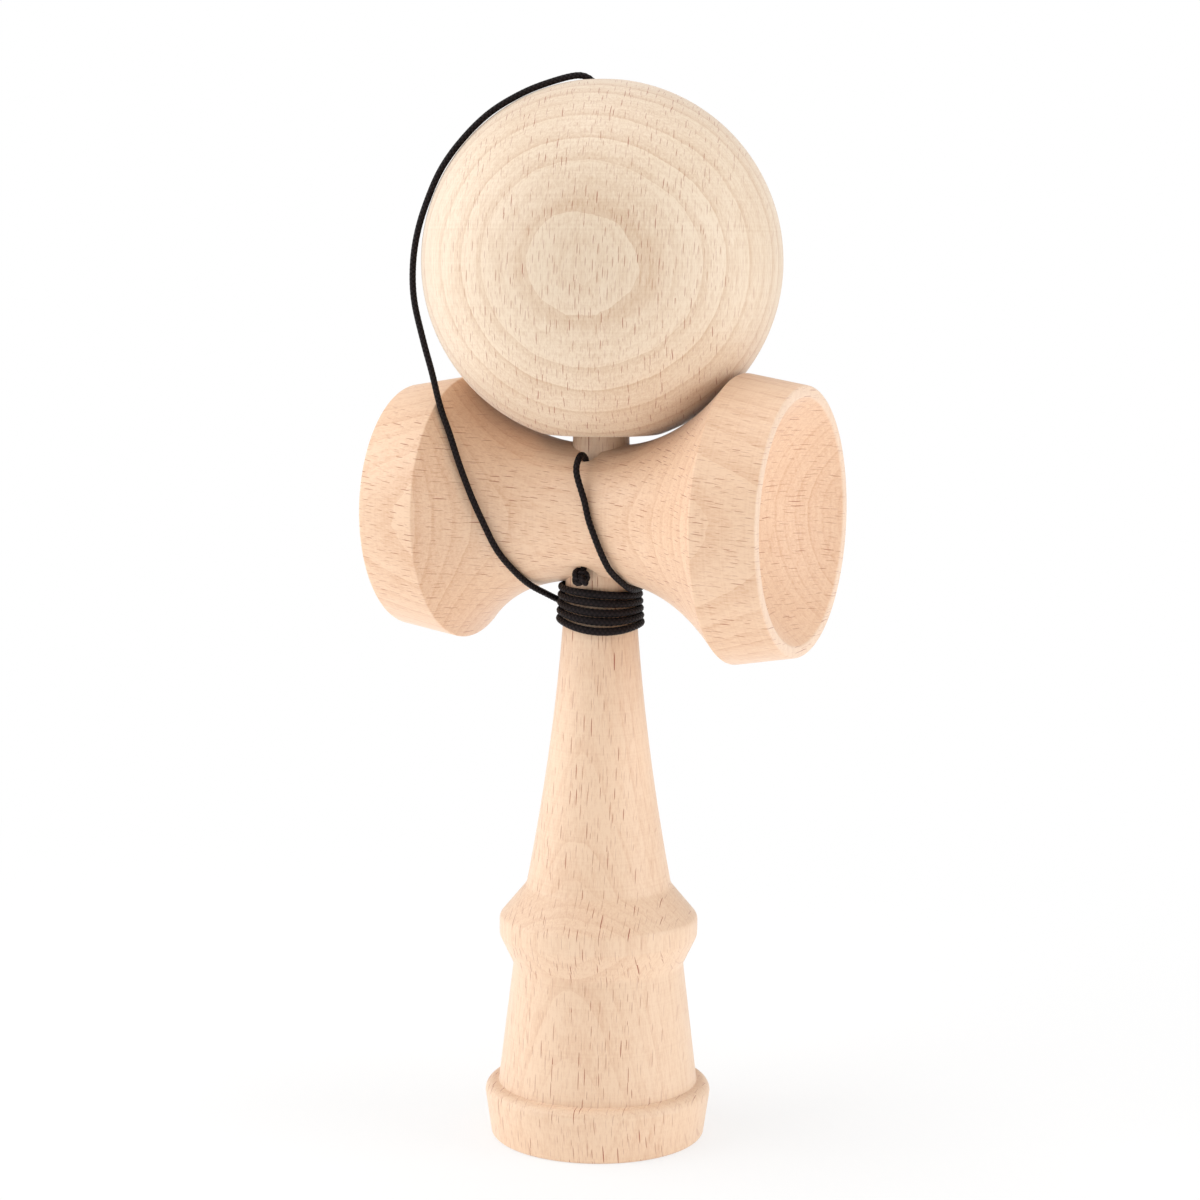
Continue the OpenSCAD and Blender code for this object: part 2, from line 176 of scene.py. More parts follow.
class StringSettings(bpy.types.PropertyGroup):
    """Sizes of the string"""

    diameter: size("String diameter", "Diameter of the braided string", 1.14)
    braid_pitch: size("Braid pitch", "Length in which a strand goes once round the string", 3.2)
    relief: size("Braid relief", "How far the strands stand out of the string", 0.07)
    step: size("Ring spacing", "Distance between two rings of the string's mesh", 0.16)
    sides: IntProperty(name="Sides", description="Sides of the string's mesh", default=20, min=8, max=32)


class ColourSettings(bpy.types.PropertyGroup):
    """Colours of the woods, the bead and the string"""

    ball_pale: colour("Ball pale", "Early wood of the ball", 0.8, 0.65, 0.49)
    ball_dark: colour("Ball dark", "Late wood of the ball", 0.64, 0.447, 0.295)
    handle_pale: colour("Handle pale", "Early wood of the handle", 0.83, 0.605, 0.425)
    handle_dark: colour("Handle dark", "Late wood of the handle", 0.70, 0.44, 0.28)
    cups_pale: colour("Cups pale", "Early wood of the cross cups", 0.845, 0.588, 0.4)
    cups_dark: colour("Cups dark", "Late wood of the cross cups", 0.695, 0.41, 0.245)
    fleck: colour("Fleck", "Dark rays in the beech", 0.32, 0.04, 0.003)
    # The rim colour is a painted highlight, not wear: beech lays it as a pale ring on each cup's rim
    rim: colour("Rim", "Worn edge of the cups' rims", 0.86, 0.73, 0.6)
    string: colour("String", "Crowns of the string's strands", 0.0205, 0.0138, 0.0148)
    bead: colour("Bead", "Lacquer of the bead", 0.34, 0.022, 0.012)


class StageSettings(bpy.types.PropertyGroup):
    """The camera and the light"""

    camera_place: FloatVectorProperty(
        name="Camera place", description="Where the camera stands",
        default=(0.1850, -0.4190, 0.1509), size=3, subtype="TRANSLATION",
    )
    camera_turn: camera_angle("Camera turn", "Angle of the camera round the toy", 23.83)
    camera_tilt: camera_angle("Camera tilt", "Angle of the camera below the horizon", 7.22)
    camera_roll: camera_angle("Camera roll", "Roll of the camera", 0.32)
    lens: amount("Lens", "Focal length in millimetres on a 36 mm frame", 81.69, 1.0)
    room_light: amount("Room light", "Strength of the white room", 0.43)
    left_light: amount("Left light", "Power of the soft light on the left, in watts", 4.1)
    front_light: amount("Front light", "Power of the soft light in front, in watts", 5.0)
    right_light: amount("Right light", "Power of the soft light on the right, in watts", 5.1)
    top_light: amount("Top light", "Power of the soft light above, in watts", 4.9)


class ToySettings(bpy.types.PropertyGroup):
    """All settings of the toy"""

    handle: PointerProperty(type=HandleSettings)
    cups: PointerProperty(type=CupsSettings)
    ball: PointerProperty(type=BallSettings)
    string: PointerProperty(type=StringSettings)
    colours: PointerProperty(type=ColourSettings)
    stage: PointerProperty(type=StageSettings)


def settings():
    """The settings that the operators read."""
    return bpy.context.scene.cup_and_ball


# Outlines of the turned pieces, as pairs of radius and place along the axis

def arc(centre, radius, start, end, steps):
    """Points on an arc round a centre, with its angles in degrees."""
    angles = np.radians(np.linspace(start, end, steps + 1))
    return [(centre[0] + radius * math.cos(a), centre[1] + radius * math.sin(a)) for a in angles]


def bow(a, b, c, steps):
    """Points on a quadratic curve from a to c that leaves and arrives along the lines through b."""
    return [
        tuple((1 - t) ** 2 * p + 2 * t * (1 - t) * q + t * t * r for p, q, r in zip(a, b, c))
        for t in np.linspace(0, 1, steps + 1)
    ]


def soft(before, corner, after, radius):
    """A corner between two neighbours with its edge taken off by hand."""
    def cut(to):
        away = Vector(to) - Vector(corner)
        return tuple(Vector(corner) + away.normalized() * min(radius, away.length * 0.45))
    return bow(cut(before), corner, cut(after), 5)


def bowl(mouth, depth, steps):
    """A round bowl from the middle of its floor, a depth below 0, out to its mouth at 0."""
    round_ = (mouth * mouth + depth * depth) / (2 * depth)
    angle = math.degrees(math.asin(mouth / round_))
    return [(max(r, 0.0), z) for r, z in arc((0, round_ - depth), round_, -90, angle - 90, steps)]


def handle_outline(h):
    """From the cup under the base, round the base ring, and up to the tip of the spike."""
    foot_round, top_round, tip_round = 0.8 * MM, 1.8 * MM, 0.6 * MM
    cup_edge, skirt_crease, skirt_edge, turned_edge = 0.4 * MM, 0.12 * MM, 0.5 * MM, 0.6 * MM
    cup = [(r, -z) for r, z in bowl(h.base_cup, h.base_cup_depth, 40)]
    base_top = (h.base_radius - top_round, h.base_height)
    skirt_foot = (h.skirt_foot, h.base_height)
    skirt_top = (h.skirt_top, h.skirt_end)
    collar_low = (h.collar, h.collar_low)
    collar_high = (h.collar, h.collar_high)
    neck_foot = (h.neck_foot, h.neck_low)
    neck_bend = (h.neck_bend, h.neck_bend_height)
    spike_foot = (h.spike_foot, h.spike_low)
    spike_tip = (h.spike_tip, h.spike_high)
    return (
        cup[:-1]
        + soft(cup[-2], (h.base_cup, 0), (h.base_foot, 0), cup_edge)
        + arc((h.base_foot - foot_round, foot_round), foot_round, -90, 0, 8)
        + arc((h.base_radius - top_round, h.base_height - top_round), top_round, 0, 90, 12)
        + soft(base_top, skirt_foot, skirt_top, skirt_crease)
        + soft(skirt_foot, skirt_top, collar_low, skirt_edge)
        + soft(skirt_top, collar_low, collar_high, turned_edge)
        + soft(collar_low, collar_high, neck_foot, turned_edge)
        + soft(collar_high, neck_foot, neck_bend, turned_edge)
        + bow(neck_foot, neck_bend, spike_foot, 60)[3:]
        + [tuple(a + (b - a) * t for a, b in zip(spike_foot, spike_tip)) for t in np.linspace(0.05, 0.95, 19)]
        + arc((h.spike_tip - tip_round, h.spike_high - tip_round), tip_round, 0, 90, 8)
        + [(0.0, h.spike_high)]
    )


def waist_radius(c, x):
    """Radius of the waist at a place along the cups' axis."""
    off = x - c.waist_shift
    if off < 0:
        return c.waist + (c.small_edge - c.waist) * (-off / (c.small_edge_at + c.waist_shift)) ** SMALL_FLARE
    return c.waist + (c.big_edge - c.waist) * (off / (c.big_edge_at - c.waist_shift)) ** BIG_FLARE


def cup_end(rim, wall, depth, edge, edge_at, rim_at, inner):
    """From the waist's flare over the widest edge, the band and the rim to the middle of the bowl."""
    edge_round, rim_round, mouth_round = 0.25 * MM, 0.45 * MM, 0.3 * MM
    mouth = rim - wall
    inside = [(r, rim_at + z) for r, z in bowl(mouth, depth, 48)][::-1]
    return (
        soft(inner, (edge, edge_at), (rim, rim_at), edge_round)
        + soft((edge, edge_at), (rim, rim_at), (mouth, rim_at), rim_round)
        + soft((rim, rim_at), (mouth, rim_at), inside[3], mouth_round)
        + inside[2:]
    )


def cups_outline(c):
    """From the middle of the small cup's bowl to the middle of the big cup's."""
    flare = [(waist_radius(c, x), x) for x in np.linspace(-c.small_edge_at, c.big_edge_at, 97)]
    small = cup_end(
        c.small_rim, c.rim_wall, c.small_depth, c.small_edge, c.small_edge_at, c.small_rim_at,
        (flare[1][0], -flare[1][1]),
    )
    big = cup_end(c.big_rim, c.rim_wall, c.big_depth, c.big_edge, c.big_edge_at, c.big_rim_at, flare[-2])
    return [(r, -x) for r, x in small[::-1]] + flare[1:-1] + big


def ball_outline(b):
    """Once round the wall between the ball's outside, its hole and its string hole."""
    sink_round, mouth_round, hole_round = 0.4 * MM, 0.5 * MM, 0.4 * MM
    up = b.height
    mouth = b.hole + b.hole_bevel
    mouth_at = -math.sqrt(b.radius ** 2 - mouth ** 2)
    sink_from = b.radius - b.string_sink - b.string_hole
    sink_at = (sink_from + math.sqrt(2 * b.radius ** 2 - sink_from ** 2)) / 2
    sink = sink_at - sink_from
    top, bottom = (math.degrees(math.atan2(z, r)) for r, z in ((sink, sink_at), (mouth, mouth_at)))
    outside = arc((0, 0), b.radius, top, bottom, 150)
    hole_end = b.hole_end - up
    loop = (
        soft((b.string_hole, b.radius - b.string_sink), (sink, sink_at), outside[2], sink_round)
        + outside[1:-1]
        + soft(outside[-3], (mouth, mouth_at), (b.hole, mouth_at + b.hole_bevel), mouth_round)
        + soft((mouth, mouth_at), (b.hole, mouth_at + b.hole_bevel), (b.hole, hole_end), hole_round)
        + [(b.hole, mouth_at + (hole_end - mouth_at) * t) for t in (0.25, 0.5, 0.75, 1)]
        + [(b.string_hole, hole_end), (b.string_hole, b.radius - b.string_sink)]
    )
    loop.append(loop[0])
    return [(r, z + up) for r, z in loop]


def bead_outline(b):
    """Once round the wall between the bead's outside, its knot's recess and its string hole."""
    low, high = b.bead_low, b.bead_low + b.bead_length
    soft_edge = 1.2 * MM
    recess, recess_end, hole = 1.75 * MM, low + 3.2 * MM, 0.9 * MM
    loop = (
        arc((b.bead - soft_edge, low + soft_edge), soft_edge, -90, 0, 8)
        + arc((b.bead - soft_edge, high - soft_edge), soft_edge, 0, 90, 8)
        + [(hole, high), (hole, recess_end), (recess, recess_end), (recess, low)]
    )
    loop.append(loop[0])
    return loop


# Nodes

class Wiring:
    """Adds nodes to a tree and wires them, one line each."""

    def __init__(self, tree):
        self.tree = tree

    def put(self, socket, value):
        if isinstance(value, bpy.types.NodeSocket):
            self.tree.links.new(value, socket)
        elif value is not None:
            socket.default_value = value

    def node(self, kind, inputs=None, **values):
        made = self.tree.nodes.new(kind)
        for key, value in values.items():
            setattr(made, key, value)
        for key, value in (inputs or {}).items():
            self.put(made.inputs[key], value)
        return made

    def calc(self, operation, a, b=None, clamp=False):
        return self.node("ShaderNodeMath", {0: a, 1: b}, operation=operation, use_clamp=clamp).outputs[0]

    def times(self, a, b, clamp=False):
        return self.calc("MULTIPLY", a, b, clamp)

    def plus(self, a, b, clamp=False):
        return self.calc("ADD", a, b, clamp)

    def minus(self, a, b):
        return self.calc("SUBTRACT", a, b)

    def scaled(self, value, share, start):
        """The value times a share, on top of a start."""
        return self.plus(self.times(value, share), start)

    def about(self, value, middle, share):
        """How far the value is above a middle, times a share."""
        return self.times(self.minus(value, middle), share)

    def total(self, first, *others):
        """All values added up."""
        for other in others:
            first = self.plus(first, other)
        return first

    def vector(self, operation, a, b=None):
        made = self.node("ShaderNodeVectorMath", {0: a, 1: b}, operation=operation)
        return made.outputs["Value" if operation == "LENGTH" else "Vector"]

    def ease(self, value, low, high, to_low=0.0, to_high=1.0):
        return self.node(
            "ShaderNodeMapRange",
            {"Value": value, "From Min": low, "From Max": high, "To Min": to_low, "To Max": to_high},
            interpolation_type="SMOOTHSTEP",
        ).outputs["Result"]

    def noise(self, vector, detail=2.0, roughness=0.5, output="Fac"):
        inputs = {"Vector": vector, "Scale": 1.0, "Detail": detail, "Roughness": roughness}
        return self.node("ShaderNodeTexNoise", inputs).outputs[output]

    def line_noise(self, value, scale, detail=1.0):
        inputs = {"W": value, "Scale": scale, "Detail": detail}
        return self.node("ShaderNodeTexNoise", inputs, noise_dimensions="1D").outputs["Fac"]

    def mix(self, factor, a, b):
        # The sockets for colours come after those for numbers and vectors
        return self.node("ShaderNodeMix", {"Factor": factor, 6: a, 7: b}, data_type="RGBA").outputs[2]


# Turning on the lathe

def turning_tree():
    """A node tree that turns the points of an outline once round the Z axis."""
    name = "Turning"
    if name in bpy.data.node_groups:
        return bpy.data.node_groups[name]
    tree = bpy.data.node_groups.new(name, "GeometryNodeTree")
    face = tree.interface
    face.new_socket("Outline", in_out="INPUT", socket_type="NodeSocketGeometry")
    face.new_socket("Sides", in_out="INPUT", socket_type="NodeSocketInt").default_value = 96
    face.new_socket("Wood", in_out="INPUT", socket_type="NodeSocketMaterial")
    face.new_socket("Piece", in_out="OUTPUT", socket_type="NodeSocketGeometry")

    w = Wiring(tree)
    given = w.node("NodeGroupInput").outputs
    count = w.node("GeometryNodeAttributeDomainSize", {0: given["Outline"]}, component="MESH")
    points = count.outputs["Point Count"]
    rows = w.plus(given["Sides"], 1.0)
    grid = w.node("GeometryNodeMeshGrid", {"Vertices X": rows, "Vertices Y": points})
    index = w.node("GeometryNodeInputIndex").outputs[0]
    along = w.calc("MODULO", index, points)
    around = w.calc("FLOOR", w.calc("DIVIDE", w.plus(index, 0.5), points))
    place = w.node("GeometryNodeInputPosition").outputs[0]
    pick = w.node(
        "GeometryNodeSampleIndex", {"Geometry": given["Outline"], "Value": place, "Index": along},
        data_type="FLOAT_VECTOR", domain="POINT",
    )
    apart = w.node("ShaderNodeSeparateXYZ", {0: pick.outputs[0]}).outputs
    angle = w.times(w.calc("DIVIDE", around, given["Sides"]), 2 * math.pi)
    x, y = (w.times(apart["X"], w.calc(part, angle)) for part in ("COSINE", "SINE"))
    join = w.node("ShaderNodeCombineXYZ", {"X": x, "Y": y, "Z": apart["Z"]})
    piece = grid.outputs["Mesh"]
    for kind, inputs in (
        ("GeometryNodeSetPosition", {"Position": join.outputs[0]}),
        ("GeometryNodeMergeByDistance", {"Distance": TURNING_MERGE}),
        ("GeometryNodeSetShadeSmooth", {}),
        ("GeometryNodeRealizeInstances", {}),
        ("GeometryNodeSetMaterial", {"Material": given["Wood"]}),
    ):
        piece = w.node(kind, {"Geometry": piece, **inputs}).outputs[0]
    w.node("NodeGroupOutput", {"Piece": piece})
    return tree


def plain(piece):
    """Turns a piece and its modifiers into a plain mesh."""
    bpy.context.view_layer.update()
    made = bpy.data.meshes.new_from_object(piece.evaluated_get(bpy.context.evaluated_depsgraph_get()))
    piece.modifiers.clear()
    old, piece.data = piece.data, made
    made.name = piece.name
    bpy.data.meshes.remove(old)


def outward(mesh):
    """Turns the faces of a closed mesh outwards."""
    work = bmesh.new()
    work.from_mesh(mesh)
    bmesh.ops.recalc_face_normals(work, faces=work.faces)
    if work.calc_volume(signed=True) < 0:
        bmesh.ops.reverse_faces(work, faces=work.faces)
    work.to_mesh(mesh)
    work.free()


def without_slivers(mesh):
    """Merges the points that a cut leaves on each other, and drops the flaps that this folds flat."""
    work = bmesh.new()
    work.from_mesh(mesh)
    bmesh.ops.triangulate(work, faces=work.faces)
    bmesh.ops.remove_doubles(work, verts=work.verts, dist=CUT_MERGE)
    bmesh.ops.dissolve_degenerate(work, edges=work.edges, dist=CUT_MERGE)
    by_corners = {}
    for face in work.faces:
        by_corners.setdefault(frozenset(face.verts), []).append(face)
    flaps = [face for faces in by_corners.values() if len(faces) > 1 for face in faces]
    bmesh.ops.delete(work, geom=flaps, context="FACES")
    work.to_mesh(mesh)
    work.free()


def turned(name, outline, sides, wood):
    """A piece turned from its outline, standing on the Z axis."""
    line = bpy.data.meshes.new(name)
    edges = [(i, i + 1) for i in range(len(outline) - 1)]
    line.from_pydata([(r, 0.0, z) for r, z in outline], edges, [])
    piece = bpy.data.objects.new(name, line)
    bpy.context.collection.objects.link(piece)
    tree = turning_tree()
    lathe = piece.modifiers.new("Turning", "NODES")
    lathe.node_group = tree
    inputs = {item.name: item.identifier for item in tree.interface.items_tree if item.in_out == "INPUT"}
    lathe[inputs["Sides"]] = sides
    lathe[inputs["Wood"]] = wood
    plain(piece)
    outward(piece.data)
    piece.data.set_sharp_from_angle(angle=SHARP_ANGLE)
    return piece


def add_to_toy(piece, body, node):
    """Lets a piece ride on a body in place of its solid."""
    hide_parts(node)
    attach(piece, body)


# Finishes

def rgba(value):
    """A colour with full opacity."""
    return (*value, 1.0)


def new_finish(name):
    """An empty material with its shader and its wiring."""
    material = bpy.data.materials.new(name)
    material.use_nodes = True
    tree = material.node_tree
    return material, Wiring(tree), tree.nodes["Principled BSDF"]


def beech(
    name, pale, dark, fibre, centre, turn, ring, ring_shift, ring_strength, pith, cell, ray, ray_strength, rims=None
):
    """Turned beech, with growth rings round a pith behind the piece, and with rays as thin sheets.

    fibre is the axis that the fibres follow. turn holds the angles, in degrees, that bring the wood to its
    place round the centre, which is in metres, about its radius, its tangent and its fibres. ring is the
    rings' spacing, ring_shift moves them by a share of it, and pith is the pith's distance. cell and ray are
    the rays' spacing and half size along radius, tangent and fibres. rims are the places of the two rims
    along the axis, where a pale ring is painted on as a highlight. Apart from the centre, lengths are in
    millimetres.
    """
    material, w, shader = new_finish(name)

    def in_wood(vector, scale):
        """The vector along radius, tangent and fibre."""
        if fibre == "X":
            apart = w.node("ShaderNodeSeparateXYZ", {0: vector}).outputs
            back = w.times(apart["Y"], -1.0)
            vector = w.node("ShaderNodeCombineXYZ", {"X": back, "Y": apart["Z"], "Z": apart["X"]}).outputs[0]
        inputs = {"Vector": vector, "Rotation": tuple(math.radians(a) for a in turn), "Scale": (scale,) * 3}
        return w.node("ShaderNodeMapping", inputs).outputs[0]

    def cloud(scale, detail, width):
        """A vector that wanders about 0, with its wavelengths and its width."""
        colours = w.noise(w.vector("MULTIPLY", wood, scale), detail, 0.5, "Color")
        return w.vector("MULTIPLY", w.vector("SUBTRACT", colours, (0.5, 0.5, 0.5)), width)

    place = w.node("ShaderNodeTexCoord")
    from_centre = w.vector("SUBTRACT", place.outputs["Object"], centre)
    wood = in_wood(from_centre, 1 / MM)
    faces = w.node("ShaderNodeSeparateXYZ", {0: w.vector("ABSOLUTE", in_wood(place.outputs["Normal"], 1.0))})
    end_grain = w.ease(faces.outputs["Z"], 0.4, 0.95)
    radial_face = w.ease(faces.outputs["Y"], 0.55, 0.95)

    # Rings: pale early wood, then late wood that darkens up to the next ring
    bent = w.vector("ADD", wood, cloud((0.04, 0.04, 0.015), 1.0, (3.0, 2.0, 0.0)))
    bent = w.vector("ADD", bent, cloud((0.25, 0.25, 0.08), 2.0, (0.55, 0.35, 0.0)))
    bent = w.vector("ADD", bent, cloud((1.2, 1.2, 0.4), 1.0, (0.1, 0.06, 0.0)))
    across = w.vector("MULTIPLY", w.vector("ADD", bent, (pith, 0.0, 0.0)), (1.0, 1.0, 0.0))
    from_pith = w.vector("LENGTH", across)
    count = w.plus(w.calc("DIVIDE", w.minus(from_pith, pith), ring), ring_shift)
    count = w.plus(count, w.about(w.line_noise(count, 0.8), 0.5, 0.8))
    growth = w.calc("FRACT", count)
    ring_number = {"W": w.calc("FLOOR", count)}
    year = w.node("ShaderNodeTexWhiteNoise", ring_number, noise_dimensions="1D").outputs["Value"]
    late = w.plus(w.ease(growth, 0.66, 1.0, 0.0, 0.6), w.ease(growth, 0.05, 1.0, 0.0, 0.4))
    late = w.times(late, w.scaled(year, 0.6, 0.4))
    season = w.calc("FRACT", w.times(count, 3.7))
    late = w.plus(late, w.ease(season, 0.3, 1.0, 0.0, 0.22))

    # Fibres, pores and broad patches of tone
    fibres = w.noise(w.vector("MULTIPLY", wood, (2.2, 2.2, 0.16)), 3.0, 0.65)
    pores = w.noise(w.vector("MULTIPLY", wood, (3.8, 3.8, 0.9)), 2.0, 0.6)
    along = w.times(w.node("ShaderNodeSeparateXYZ", {0: from_centre}).outputs[fibre], 1 / MM)
    tool_lines = w.line_noise(along, 2.6, 3.0)
    patches = w.noise(w.vector("MULTIPLY", wood, (0.12, 0.12, 0.05)), 3.0, 0.55)
    tone = w.total(
        w.times(late, ring_strength), w.about(patches, 0.35, 0.7), w.about(fibres, 0.5, 1.1),
        w.about(pores, 0.5, 1.2), w.about(tool_lines, 0.5, 0.4),
    )
    tone = w.plus(tone, w.times(end_grain, 0.18), clamp=True)
    base = w.mix(tone, rgba(pale), rgba(dark))
    # A pale ring on each rim, in the rim colour: a painted highlight standing in for light off the rims
    if rims:
        low, high = rims
        highlight_from, highlight_to, highlight_strength = 0.3, 0.05, 0.34
        rim_highlight = w.total(
            w.ease(along, low + highlight_from, low + highlight_to), w.ease(along, high - highlight_from, high - highlight_to)
        )
        base = w.mix(w.times(rim_highlight, highlight_strength), base, rgba(settings().colours.rim))

    # Rays, long ones and short faint ones between them
    def sheets(offset, share):
        """Thin sheets, one in each cell, at a share of the full size."""
        spaced = w.vector("DIVIDE", w.vector("ADD", straight, offset), tuple(c * share for c in cell))
        nearest = w.node("ShaderNodeTexVoronoi", {"Vector": spaced, "Scale": 1.0, "Randomness": 0.95})
        own = w.node("ShaderNodeSeparateColor", {0: nearest.outputs["Color"]})
        away = w.vector("SUBTRACT", spaced, nearest.outputs["Position"])
        away = w.vector("LENGTH", w.vector("MULTIPLY", away, tuple(c / r for c, r in zip(cell, ray))))
        away = w.calc("DIVIDE", away, w.scaled(own.outputs[1], 0.9, 0.45))
        return w.times(w.ease(away, 1.0, 0.75), w.scaled(own.outputs[0], 0.6, 0.4))

    straight = w.vector("ADD", wood, cloud((0.25, 0.25, 0.04), 1.0, (0.0, 0.7, 0.0)))
    short = w.times(sheets((7.3, 3.1, 5.9), 0.7), 0.45)
    rays = w.calc("MAXIMUM", sheets((0.0, 0.0, 0.0), 1.0), short)
    rays = w.times(rays, w.minus(1.0, w.times(radial_face, 0.75)))
    base = w.mix(w.times(rays, ray_strength, clamp=True), base, rgba(settings().colours.fleck))
    w.put(shader.inputs["Base Color"], base)

    # Surface: fibres, pores, sunken rays and the turning tool's marks
    height = w.total(
        w.times(fibres, 0.4), w.times(pores, 0.5), w.times(tool_lines, 0.6)
    )
    height = w.minus(height, w.times(rays, 0.06))
    bump = w.node("ShaderNodeBump", {"Height": height, "Strength": 0.3, "Distance": 0.12 * MM})
    w.put(shader.inputs["Normal"], bump.outputs[0])
    rough = w.plus(fibres, w.times(rays, 0.4))
    w.put(shader.inputs["Roughness"], w.ease(rough, 0.3, 0.9, 0.5, 0.68))
    shader.inputs["Specular IOR Level"].default_value = 0.8
    shader.inputs["Sheen Weight"].default_value = 0.3
    shader.inputs["Sheen Roughness"].default_value = 0.4
    return material


def braid(name, crown_colour):
    """Black braided string. Its UV map counts once round it, and its length in turns of a strand."""
    material, w, shader = new_finish(name)
    where = w.node("ShaderNodeTexCoord").outputs
    uv = w.node("ShaderNodeSeparateXYZ", {0: where["UV"]}).outputs
    left = w.times(w.minus(uv["X"], uv["Y"]), STRANDS)
    right = w.times(w.plus(uv["X"], uv["Y"]), STRANDS)
    over = w.calc("FLOORED_MODULO", w.plus(w.calc("FLOOR", left), w.calc("FLOOR", right)), 2.0)
    under = w.minus(1.0, over)
    a = w.minus(w.calc("FRACT", left), 0.5)
    b = w.minus(w.calc("FRACT", right), 0.5)
    across = w.plus(w.times(a, under), w.times(b, over))
    along = w.plus(w.times(b, under), w.times(a, over))
    crown = w.times(
        w.calc("COSINE", w.times(across, math.pi)),
        w.scaled(w.calc("COSINE", w.times(along, math.pi)), 1 - CROWN_END, CROWN_END),
    )
    threads = w.calc("SINE", w.times(across, 34.0))
    fuzz = w.noise(w.vector("MULTIPLY", where["Object"], (9000.0,) * 3), 2.0)
    # The colour falls to 0.08 of the crowns' between the strands: painted shade in the braid's hollows, with the
    # fuzz as the fibres' own uneven tone
    painted_braid_shade = w.times(crown, w.scaled(fuzz, 0.7, 0.6), clamp=True)
    w.put(shader.inputs["Base Color"], w.mix(painted_braid_shade, rgba(c * 0.08 for c in crown_colour), rgba(crown_colour)))
    fine = w.plus(w.times(threads, 0.12), w.times(fuzz, 0.25))
    height = w.plus(crown, fine)
    bump = w.node("ShaderNodeBump", {"Height": height, "Strength": 0.8, "Distance": 0.07 * MM})
    w.put(shader.inputs["Normal"], bump.outputs[0])
    w.put(shader.inputs["Roughness"], w.ease(painted_braid_shade, 0.0, 1.0, 0.7, 0.4))
    shader.inputs["Specular IOR Level"].default_value = 0.13
    return material


def lacquer(name, lacquer_colour):
    """Red lacquer with a slight unevenness."""
    material, w, shader = new_finish(name)
    where = w.node("ShaderNodeTexCoord").outputs["Object"]
    cloud = w.noise(w.vector("MULTIPLY", where, (700.0,) * 3), 2.0)
    darker = rgba(c * 0.7 for c in lacquer_colour)
    w.put(shader.inputs["Base Color"], w.mix(cloud, rgba(lacquer_colour), darker))
    w.put(shader.inputs["Roughness"], w.ease(cloud, 0.2, 0.8, 0.22, 0.38))
    bump = w.node("ShaderNodeBump", {"Height": cloud, "Strength": 0.15, "Distance": 0.1 * MM})
    w.put(shader.inputs["Normal"], bump.outputs[0])
    return material


def string_finish():
    """The string's finish, made once."""
    return bpy.data.materials.get("Braided string") or braid("Braided string", settings().colours.string)


# The string's line, in millimetres and degrees

STRING_RADIUS = 0.55
STRING_GAP = 0.15
ANCHOR = (0.0, -7.49, 97.41)
BEAD_KNOT = (0.0, 0.0, 159.5)
FRONT_KNOT = (-0.3, -7.65, 97.6)
# Out of the front knot, down and to the side, in the knot's own directions
KNOT_TAIL = [(0, 0.1, 0.5), (0.25, -0.35, 1.1), (0.7, -0.95, 1.15), (1.1, -1.5, 0.8)]
# A knot's width, the swing of its strand in and out, and up and down, its tip to the front, and its thinner string
KNOT_WIDE, KNOT_SWING, KNOT_THICK = 0.76, 0.38, 0.55
KNOT_TIP = 75
KNOT_STRING = 0.95

# Heights in the channel, then the bend over its edge: start, straight run before it, radius, heading and sweep
CHANNEL_HEIGHTS = (101.6, 106.5)
LEAVE, LEAVE_RUN = 115.35, 2.2
BEND, BEND_HEADING, BEND_SWEEP = 2.7, -85, 127
# Heights inside the ball
BALL_HEIGHTS = (174.0, 169.0, 164.5)

# The winding: the angle of its front, and the angles where it starts, climbs over its turns and ends
WINDING_FRONT = 294
WINDING_START, WINDING_CLIMB, WINDING_END = 100, 1845, 1965
WINDING_STEP = 15
# Its first height and its last one from the cups' axis, the fall of a turn, and the end's step outwards
WINDING_TOP, WINDING_LAST = -13.15, -16.1
WINDING_FALL = 1.28
OUT_STEP, OUT_FROM, OUT_TO = 1.28, 1825, 1885

# Points to each side over which the line is eased
EASED_POINTS = 6

# Strands that go each way round the string, and the height of a strand's ends as a share of its crown's
STRANDS = 4
CROWN_END = 0.4

# Over the front of the waist and round the neck, from the cups' axis
FRONT_ROUTE = [
    (0.55, -11.3, 7.55), (2.25, -11.9, 3.1), (3.2, -12.25, 0), (4.35, -12, -3.25), (5.25, -10.75, -6.5),
    (6, -9, -9), (7.1, -4.6, -11.9), (7.05, -1, -12.5), (6.1, 3.3, -12.5), (3.6, 5.9, -12.4),
]
# Across the front of the small cup's flare, from the cups' axis
SIDE_ROUTE = [
    (-9.25, -2.25, -13.95), (-10.5, -6.25, -12), (-11.5, -10.25, -9.25), (-13, -13.25, -5.75),
    (-14.5, -15.25, -1.25), (-16.5, -16, 3.5), (-18.75, -15.75, 8.5), (-21, -14.75, 13.25),
    (-23.5, -13.5, 18), (-25, -13.5, 23.5),
]
# Up and over the ball, from its centre
OVER_ROUTE = [
    (-26.25, -14.25, -13), (-27.5, -15, -6.5), (-27.75, -15, -1), (-27, -15, 4.25), (-25.25, -15, 9.5),
    (-22.5, -14.75, 15.25), (-19, -13.5, 20.25), (-15, -11.5, 24.5), (-10.25, -8.75, 27.75),
    (-5.9, -5.8, 29.75), (-3.25, -3, 30.65), (-1.85, -1.75, 30.25), (-0.95, -0.8, 29.15), (-0.25, -0.45, 27.55),
]


def taper_radius(z):
    """Radius of the spike's taper."""
    return SPIKE_FOOT - (SPIKE_FOOT - SPIKE_TIP) * (z - SPIKE_LOW) / (SPIKE_HIGH - SPIKE_LOW)


